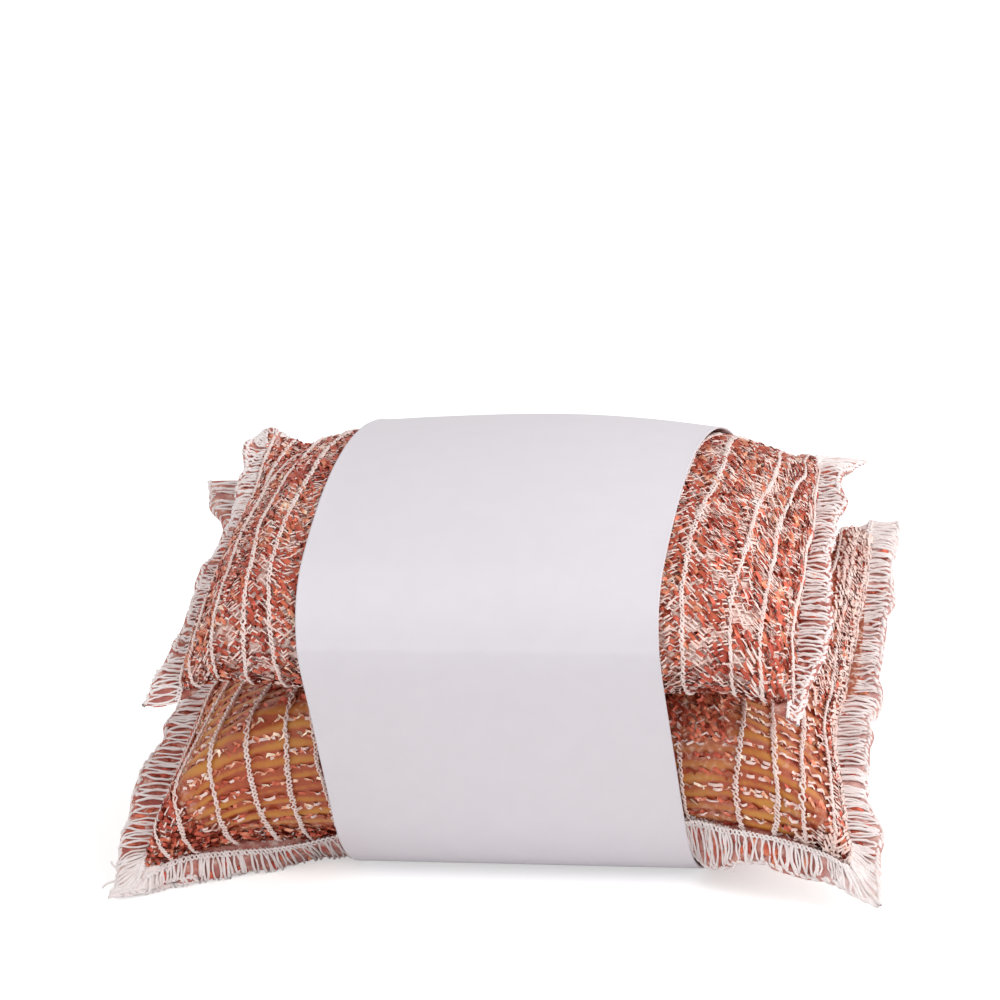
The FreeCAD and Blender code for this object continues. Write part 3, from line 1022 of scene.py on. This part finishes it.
class Edge:
    """Middle surface of an overlocked edge, read by distance along it and share across it."""

    def __init__(self, pad, roots, tips, whites):
        run = run_of((1 - run_share) * roots + run_share * tips)
        self.length = run[-1]
        count = max(int(self.length / edge_step), least_edge_rows)
        self.runs = np.linspace(0, self.length, count)
        roots = along_line(self.runs, run, roots)
        across = (along_line(self.runs, run, tips) - roots)[:, None]
        self.inner = roots + strip_tuck * unit(inside(pad, roots) - roots)
        free = eased(np.abs(roots[:, 0]) - band_width / 2, free_start, free_span)
        shares = np.linspace(0, 1, edge_columns)
        self.grid = roots[:, None] + across * shares[None, :, None]
        normals = self.find_normals()
        waves = np.zeros((count, edge_columns))
        for size, steps, over in ruffles:
            waves = waves + size * field(waves.shape, (max(count // steps, least_waves), over))
        lift = waves * shares[None] ** ruffle_power_share * edge_ruffle * free[:, None]
        bites = np.zeros((count, 1))
        for size, length in rim_bites:
            bites = bites + size * field(bites.shape, (max(int(self.length / length), least_waves), 1))
        from_end = np.minimum(self.runs, self.length - self.runs)
        steady = free * eased(from_end, steady_length / 2, steady_length)
        reach = shares[None] * (1 + bites * steady[:, None])
        self.grid = roots[:, None] + across * reach[..., None] + normals * lift[..., None]
        self.grid[..., 2] = np.maximum(self.grid[..., 2], floor_gap)
        self.normals = self.find_normals()
        self.over = unit(np.gradient(self.grid, axis=1))
        first = whites[0] * eased(-self.runs, -solid_length, solid_length / 2)
        last = whites[1] * eased(self.runs, self.length - solid_length, solid_length / 2)
        self.solid = np.maximum(first + last, whites[2])
        held = held_share + (1 - held_share) * free
        self.stand = held * (end_share + (1 - end_share) * eased(from_end, 0, taper_length))

    def find_normals(self):
        along = np.gradient(self.grid, axis=0)
        over = np.gradient(self.grid, axis=1)
        normals = unit(np.cross(along, over))
        if normals[:, :, 2].sum() - normals[:, :, 1].sum() < 0:
            normals = -normals
        return normals

    def at(self, run, share):
        """Points, normals and how far the edge stands open, also a little beyond its rim."""
        rows = len(self.runs)
        row = np.clip(np.interp(run, self.runs, np.arange(rows)), 0, rows - 1 - cell_gap)
        column = np.clip(share, 0, 1) * (edge_columns - 1 - cell_gap)
        points, normals = blended(row, column, self.grid, self.normals)
        over = self.over[row.astype(int), column.astype(int)]
        beyond = np.maximum(share - 1, 0)[..., None] * seam_width
        return points + over * beyond, unit(normals), np.interp(run, self.runs, self.stand)


def edge_strip(name, edge):
    """Knit folded into an overlocked edge: a soft flat strip, closed all round."""
    count = len(edge.runs)
    thick = edge_half_thickness * edge.stand[:, None, None]
    swell = edge.normals * thick * (1 + noisy((count, edge_columns), "strip_swell"))[..., None]
    middle = edge.grid.copy()
    middle[:, 0] = edge.inner
    rim = middle[:, -1:] + unit(middle[:, -1:] - middle[:, -2:-1]) * thick
    loop = np.concatenate([middle + swell, rim, (middle - swell)[:, ::-1]], 1)
    rings = loop.shape[1]
    piece = make_object(name, loop.reshape(-1, 3), shell_faces(count, rings, edge_columns))
    add_number(piece, "white", np.repeat(edge.solid, rings))
    return piece


def edge_stitches(edge):
    """Places of the overlock strands along an edge and how far each bows aside, closer at solid corners."""
    count = int(edge.length / stitch_spacing)
    places = (np.arange(count) + 1 / 2) * edge.length / count
    places = places + rng.uniform(-stitch_noise_share, stitch_noise_share, count) * stitch_spacing
    bows = stitch_bow * rng.uniform(*stitch_bow_shares, count)
    extra = np.arange(0, edge.length, solid_spacing)
    extra = extra[rng.uniform(size=len(extra)) < np.interp(extra, edge.runs, edge.solid)]
    extra_bows = rng.uniform(-stitch_bow, stitch_bow, len(extra))
    return np.concatenate([places, places, extra]), np.concatenate([bows, -bows, extra_bows])


def laid(edge, run, share, height, radius):
    """Thread laid on an edge at heights off its middle surface."""
    points, normals, stand = edge.at(run, share)
    return tubes(points + normals * (height * stand)[..., None], normals, radius, strand_sides)


def overlock(name, edge):
    """White thread: strands over the edge and back, a chain along its root and a plait along its rim."""
    places, bows = edge_stitches(edge)
    shape = (len(places), strand_steps)
    each = (len(places), 1)
    from_rim = np.linspace(-1, 1, strand_steps)
    turn = np.sign(from_rim) * np.abs(from_rim) ** strand_power_share / 2
    share = (1 - 2 * np.abs(turn))[None] * rng.uniform(1 - strand_reach_share, 1 + strand_reach_share, each)
    share = share + rng.uniform(-strand_reach_share, strand_reach_share, shape)
    face = np.sin(np.clip(-turn / rim_round_share, -1, 1) * math.pi / 2)[None]
    slant = rng.normal(0, stitch_slant, each)
    run = places[:, None] + bows[:, None] * np.sin(math.pi * share) + slant * (turn + 1 / 2)[None]
    height = face * (edge_half_thickness + strand_lift)
    height = height * rng.uniform(1 - strand_lift_share, 1 + strand_lift_share, shape)
    radius = strand_radius * rng.uniform(1 - strand_radius_share, 1 + strand_radius_share, each)
    parts = [laid(edge, np.clip(run, 0, edge.length), share, height, radius)]
    run = np.linspace(0, edge.length, int(edge.length / chain_step))[None]
    turn = CIRCLE * run / stitch_pitch
    for side in (-1, 1):
        share = chain_share * (1 + side * np.sin(turn)) + noisy(run.shape, "chain_place")
        height = edge_half_thickness + 2 * strand_lift + side * rib_twist * np.cos(turn)
        parts.append(laid(edge, run, share, height, rib_radius))
    for strand in range(rim_strands):
        phase = CIRCLE * (run / rim_pitch + strand / rim_strands) + noisy(run.shape, "rim_phase")
        share = 1 + rim_swing_share * (np.sin(phase) + noisy(run.shape, "rim_swing"))
        parts.append(laid(edge, run, share, edge_half_thickness * np.cos(phase), rim_radius))
    for from_end, length, lean in loose_tails.get(name, []):
        parts.append(loose_tail(edge, from_end, length, lean))
    return make_object(name, *gathered(parts))


def loose_tail(edge, from_end, length, lean):
    """A thread end that stands out of the rim, leaning along it."""
    place = np.array([[edge.length - from_end]])
    rim = np.ones((1, 1))
    tip, normal, _ = edge.at(place, rim)
    root, _, _ = edge.at(place, rim * tail_root_share)
    beside, _, _ = edge.at(place - tail_reach, rim)
    way = unit(unit(tip - root) + lean * unit(beside - tip))
    run = np.linspace(0, length, tail_steps)[None, :, None]
    curl = tail_curl * np.sin(math.pi * run / length)
    path = tip + way * run + normal * curl
    return tubes(path, np.repeat(normal, tail_steps, 1), rib_radius, strand_sides)


def fringe(name, edge):
    """Copper ribbon across an overlocked edge between its strands, some of it standing out of the rim."""
    count = int(edge.length * fringe_per_length)
    along_steps = np.linspace(0, 1, fringe_steps)[None]
    place = rng.uniform(0, edge.length, (count, 1))
    place = place[rng.uniform(size=count) > np.interp(place[:, 0], edge.runs, edge.solid)]
    each = (len(place), 1)
    run = place + along_steps * rng.normal(0, fringe_slant, each)
    share = rng.uniform(*fringe_start_shares, each) + along_steps * rng.uniform(*fringe_length_shares, each)
    points, normals, stand = edge.at(np.clip(run, 0, edge.length), share)
    side = np.where(rng.uniform(size=each) < fringe_front_share, 1, -1)
    lift = side * (edge_half_thickness + strand_lift * np.sin(along_steps * math.pi)) * stand
    lean = rng.uniform(-fringe_lean, fringe_lean, each)
    edges = ribbon(points + normals * lift[..., None], normals, lean, rng.uniform(*fringe_widths, each))
    piece = make_object(name, edges.reshape(-1, 3), strip_faces(fringe_steps, np.ones(run.shape, bool)))
    add_number(piece, "tone", np.repeat(rng.uniform(*fringe_tones, len(place)), 2 * fringe_steps))
    return piece


# Paper band
def front_corner_radius():
    """Radius of the band's lower front corner, which clears the pressed seam."""
    pad = pads["lower"]
    size = scaled_pad(pad, 1, 0)
    centre = low_corner(size, pad["seam_side"])
    root = polar(centre, size["low_radius"] + seam_root_gap, pad["root_angle"])
    tip = polar(root, seam_width, pad["root_angle"] + QUARTER_TURN)
    y, z = polar(tip, pressed_seam_thickness, pad["root_angle"]) - centre
    reach = size["low_radius"] + band_clearance - pressed_seam_clearance
    lead = y + z + reach
    return size["low_radius"] + lead + math.sqrt(lead ** 2 + reach ** 2 - y ** 2 - z ** 2)


def band_line():
    """Inner face of the paper strip from its glued start round to its lapped end, and its crease."""
    upper = pads["upper"]
    lower = pads["lower"]
    high_z = upper["low"] + upper["low_radius"] + upper["side"]
    high = np.array([upper["half_depth"] - upper["high_radius"], high_z])
    dome_radius, dome_z, lean = dome(high, upper["high_radius"], upper["crown"])
    shoulder = upper["high_radius"] + band_clearance
    front_radius = front_corner_radius()
    back = low_corner(scaled_pad(lower, 1, 0), 1)
    front = np.array([lower["half_depth"] - lower["setback"] - front_radius, lower["low"] + front_radius])

    def run_normal(low, radius):
        run, rise = high - low
        return math.degrees(math.asin((radius - shoulder) / math.hypot(run, rise)) - math.atan2(run, rise))

    back_radius = lower["low_radius"] + band_clearance
    back_normal = run_normal(back, back_radius)
    front_normal = HALF_TURN - run_normal(front, front_radius + band_clearance)
    lapped = lap_root_angle + lap_step_angle
    line = np.concatenate([
        arc(back, back_radius, lapped + lap_gap_angle, back_normal),
        arc(high, shoulder, back_normal, lean),
        arc((0, dome_z), dome_radius + band_clearance, lean, HALF_TURN - lean),
        arc((-high[0], high[1]), shoulder, HALF_TURN - lean, front_normal),
        arc((-front[0], front[1]), front_radius + band_clearance, front_normal, HALF_TURN + QUARTER_TURN),
        arc(back, back_radius, -QUARTER_TURN, lap_root_angle),
        arc(back, back_radius + lap_rise, lapped, lap_end_angle),
    ])
    crease = polar((-high[0], high[1]), shoulder, front_normal - crease_turn)
    return resampled(line, band_rows, False), crease


def paper_strip():
    """The paper, with a soft crease under the upper sponge, faint waves and free edges."""
    line, crease = band_line()
    along = unit(np.gradient(line, axis=0))
    out = np.stack([along[:, 1], -along[:, 0]], 1)
    from_middle = np.linspace(-1, 1, band_columns)
    xs = band_width / 2 * np.sign(from_middle) * (1 - (1 - np.abs(from_middle)) ** band_crowding_share)
    shape = (band_rows, band_columns)
    waves = np.ones(shape)
    for size, cells in paper_waves:
        waves = waves + size * field(shape, cells)
    free = np.abs(from_middle)[None] ** paper_edge_power * (1 + field(shape, paper_edge_cells))
    lift = (paper_wave * waves + paper_edge_lift * free) / 2
    far = np.linalg.norm(line - crease, axis=1)[:, None]
    fold = np.exp(-(far / crease_width) ** 2) * (1 + crease_noise_share * field(shape, crease_cells))
    standing = eased(line[:, 1], standing_start, standing_span)[:, None]
    lapped = eased(np.arange(band_rows), band_rows * lap_start_share, lap_ease_rows)[:, None]
    lift = lift * standing * (1 - lap_flat_share * lapped) + crease_depth * fold
    middle = np.empty((*shape, 3))
    middle[:, :, 0] = xs[None]
    middle[:, :, 1:] = line[:, None] + out[:, None] * lift[..., None]
    normal = np.concatenate([np.zeros((band_rows, 1)), out], 1)[:, None]
    inner = drooped(pads["upper"]["crown_drops"], middle)
    loop = np.concatenate([inner + normal * paper_thickness, inner[:, ::-1]], 1)
    faces = shell_faces(band_rows, loop.shape[1], band_columns)
    return make_object("band_paper", loop.reshape(-1, 3), faces)


# Materials
def new_material(name):
    material = bpy.data.materials.new(name)
    material.use_nodes = True
    tree = material.node_tree
    return material, tree, tree.nodes["Principled BSDF"]


def noise(tree, scale, detail):
    """Noise in the object's own coordinates."""
    where = tree.nodes.new("ShaderNodeTexCoord")
    node = tree.nodes.new("ShaderNodeTexNoise")
    node.inputs["Scale"].default_value = scale
    node.inputs["Detail"].default_value = detail
    tree.links.new(where.outputs["Object"], node.inputs["Vector"])
    return node.outputs["Fac"]


def ramp(tree, factor, stops):
    node = tree.nodes.new("ShaderNodeValToRGB")
    while len(node.color_ramp.elements) < len(stops):
        node.color_ramp.elements.new(1 / 2)
    for element, (place, colour) in zip(node.color_ramp.elements, stops):
        element.position = place
        element.color = (*colour, 1)
    tree.links.new(factor, node.inputs["Fac"])
    return node.outputs["Color"]


def math_node(tree, operation, first, second):
    node = tree.nodes.new("ShaderNodeMath")
    node.operation = operation
    for socket, value in zip(node.inputs, (first, second)):
        if isinstance(value, (int, float)):
            socket.default_value = value
        else:
            tree.links.new(value, socket)
    return node.outputs[0]


def scaled(tree, value, share):
    return math_node(tree, "MULTIPLY", value, share)


def added(tree, first, *others):
    for value in others:
        first = math_node(tree, "ADD", first, value)
    return first


def centred(tree, value, share):
    """Noise spread over a share, half of it below zero."""
    return math_node(tree, "SUBTRACT", scaled(tree, value, share), share / 2)


def number_of(tree, name):
    node = tree.nodes.new("ShaderNodeAttribute")
    node.attribute_name = name
    return node.outputs["Fac"]


def mixed(tree, factor, first, second):
    node = tree.nodes.new("ShaderNodeMix")
    node.data_type = "RGBA"
    tree.links.new(factor, node.inputs["Factor"])
    tree.links.new(first, node.inputs["A"])
    tree.links.new(second, node.inputs["B"])
    return node.outputs["Result"]


def dress(tree, shader, colour, roughness, relief=None):
    """Colour and roughness of a material, and its relief as grain, strength and depth."""
    tree.links.new(colour, shader.inputs["Base Color"])
    shader.inputs["Roughness"].default_value = roughness
    if relief:
        grain, strength, depth = relief
        node = tree.nodes.new("ShaderNodeBump")
        node.inputs["Strength"].default_value = strength
        node.inputs["Distance"].default_value = depth / METRE
        tree.links.new(noise(tree, *grain), node.inputs["Height"])
        tree.links.new(node.outputs["Normal"], shader.inputs["Normal"])


def plain_material(name, stops, grain, roughness, relief=None, sheen=0):
    material, tree, shader = new_material(name)
    dress(tree, shader, ramp(tree, noise(tree, *grain), stops), roughness, relief)
    shader.inputs["Sheen Weight"].default_value = sheen
    return material


def thread_material(name, stops):
    return plain_material(name, stops, thread_grain, thread_roughness, thread_relief, thread_sheen)


def copper_material():
    material, tree, shader = new_material("copper_ribbon")
    # Tone and speckle lift some flakes into the ramp's pale top, which paints glints on the copper
    speckle = centred(tree, noise(tree, *copper_grain), copper_speckle_share)
    colour = ramp(tree, added(tree, number_of(tree, "tone"), speckle), copper_and_highlight_stops)
    dress(tree, shader, colour, copper_roughness, copper_relief)
    shader.inputs["Metallic"].default_value = copper_metal_share
    return material


def pad_material(name):
    """Gold foam where the knit is drawn open, the inner knit's own colours under the close knit."""
    material, tree, shader = new_material(name + "_inner_knit")
    streaks = noise(tree, *streak_grain)
    ground = noise(tree, *ground_grain)
    patches = centred(tree, noise(tree, *patch_grain), patch_share)
    course = scaled(tree, number_of(tree, "course"), course_share)
    course = added(tree, course, streaks, scaled(tree, ground, ground_share), patches)
    gold = ramp(tree, scaled(tree, course, gold_share), gold_stops)
    deep = ramp(tree, ground, ground_stops[name])
    share = added(tree, number_of(tree, "tone"), centred(tree, streaks, streak_share))
    share = math_node(tree, "MINIMUM", math_node(tree, "MAXIMUM", share, 0), 1)
    dress(tree, shader, mixed(tree, share, deep, gold), pad_roughness, pad_relief)
    return material


def edge_material():
    material, tree, shader = new_material("edge_knit")
    red = ramp(tree, noise(tree, *edge_red_grain), edge_red_stops)
    pale = ramp(tree, noise(tree, *edge_pale_grain), edge_pale_stops)
    dress(tree, shader, mixed(tree, number_of(tree, "white"), red, pale), edge_roughness, edge_relief)
    return material


# Assembly
copper = copper_material()
thread = thread_material("seam_thread", seam_thread_stops)
warm_thread = thread_material("rib_thread", rib_thread_stops)
fine_thread = thread_material("knit_thread", knit_thread_stops)
edge_knit = edge_material()
paper = plain_material("label_paper", paper_stops, paper_grain, paper_roughness, paper_relief)
glue = plain_material("label_glue", glue_stops, glue_grain, glue_roughness)


def finished(piece, body, material):
    piece.data.materials.append(material)
    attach(piece, body)
    return piece


def build_sponge(name):
    pad = pads[name]
    body = name + "_sponge"
    surface = Surface(name, pad)
    base = finished(pad_body(name, pad, surface), body, pad_material(name))
    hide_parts(name + "_foam_core", name + "_inner_knit")
    knit = finished(copper_courses(name, pad, surface), body, copper)
    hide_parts(name + "_outer_knit")
    finished(white_ribs(name, surface), body, warm_thread)
    finished(white_inlay(name, pad, surface), body, fine_thread)
    left_roots, left_tips, left_peak = end_edge(pad, -1)
    right_roots, right_tips, right_peak = end_edge(pad, 1)
    edges = {
        "left": (left_roots, left_tips),
        "right": (right_roots, right_tips),
        "long": long_edge(pad, left_peak, right_peak),
    }
    for place, (roots, tips) in edges.items():
        label = f"{name}_{place}"
        edge = Edge(pad, drawn_out(pad, roots), drawn_out(pad, tips), solid_shares[label])
        strip = finished(edge_strip(label + "_edge", edge), body, edge_knit)
        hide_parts(label + "_seam")
        finished(overlock(label + "_overlock", edge), body, thread)
        finished(fringe(label + "_fringe", edge), body, copper)


for sponge in pads:
    build_sponge(sponge)
band = finished(paper_strip(), "band", paper)
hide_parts("paper_band")
glue_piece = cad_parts["band_glue"]
glue_piece.data.materials.clear()
glue_piece.data.materials.append(glue)


# Floor, light and camera
def seen_directly(tree):
    """1 for rays from the camera, off gloss and through glass."""
    path = tree.nodes.new("ShaderNodeLightPath")
    seen = math_node(tree, "MAXIMUM", path.outputs["Is Camera Ray"], path.outputs["Is Glossy Ray"])
    return math_node(tree, "MAXIMUM", seen, path.outputs["Is Transmission Ray"])


def add_floor():
    corners = [(-1, -1), (1, -1), (1, 1), (-1, 1)]
    points = [(x * floor_half_size, y * floor_half_size, 0) for x, y in corners]
    floor = make_object("floor", points, [[0, 1, 2, 3]], False)
    material, tree, shader = new_material("floor")
    shader.inputs["Base Color"].default_value = floor_colour
    shader.inputs["Roughness"].default_value = floor_roughness
    shader.inputs["Specular IOR Level"].default_value = floor_gloss_share
    glow = tree.nodes.new("ShaderNodeEmission")
    tree.links.new(scaled(tree, seen_directly(tree), floor_glow_share), glow.inputs["Strength"])
    both = tree.nodes.new("ShaderNodeAddShader")
    tree.links.new(shader.outputs["BSDF"], both.inputs[0])
    tree.links.new(glow.outputs["Emission"], both.inputs[1])
    tree.links.new(both.outputs["Shader"], tree.nodes["Material Output"].inputs["Surface"])
    floor.data.materials.append(material)


def add_world():
    world = bpy.data.worlds.new("studio")
    bpy.context.scene.world = world
    world.use_nodes = True
    tree = world.node_tree
    light = tree.nodes["Background"]
    backdrop = tree.nodes.new("ShaderNodeBackground")
    for node, strength in ((light, world_strength), (backdrop, 1)):
        node.inputs["Color"].default_value = white
        node.inputs["Strength"].default_value = strength
    mix = tree.nodes.new("ShaderNodeMixShader")
    tree.links.new(seen_directly(tree), mix.inputs["Fac"])
    tree.links.new(light.outputs["Background"], mix.inputs[1])
    tree.links.new(backdrop.outputs["Background"], mix.inputs[2])
    tree.links.new(mix.outputs["Shader"], tree.nodes["World Output"].inputs["Surface"])


def add_lamp(name, place, size, watts):
    lamp = bpy.data.lights.new(name, "AREA")
    lamp.shape = "DISK"
    lamp.size = size / METRE
    lamp.energy = watts
    holder = bpy.data.objects.new(name, lamp)
    bpy.context.scene.collection.objects.link(holder)
    holder.location = Vector(place) / METRE
    look = Vector((0, 0, target_height)) / METRE - holder.location
    holder.rotation_euler = look.to_track_quat("-Z", "Y").to_euler()


def add_camera():
    turn = math.radians(camera_azimuth)
    rise = math.radians(camera_elevation)
    back = Vector((math.sin(turn) * math.cos(rise), -math.cos(turn) * math.cos(rise), math.sin(rise)))
    right = Vector((math.cos(turn), math.sin(turn), 0))
    up = back.cross(right)
    target = Vector((0, 0, target_height))
    place = target + back * camera_distance
    look = target + right * aim_right + up * aim_up - place
    roll = Quaternion((0, 0, 1), -math.radians(camera_roll))
    data = bpy.data.cameras.new("camera")
    data.lens = camera_lens
    data.sensor_width = camera_sensor
    data.clip_start = camera_near / METRE
    camera = bpy.data.objects.new("camera", data)
    bpy.context.scene.collection.objects.link(camera)
    camera.location = place / METRE
    camera.rotation_mode = "QUATERNION"
    camera.rotation_quaternion = look.to_track_quat("-Z", "Y") @ roll
    bpy.context.scene.camera = camera


add_floor()
add_world()
for lamp_name, settings in lamps.items():
    add_lamp(lamp_name, *settings)
add_camera()
bpy.context.scene.view_settings.view_transform = "Standard"
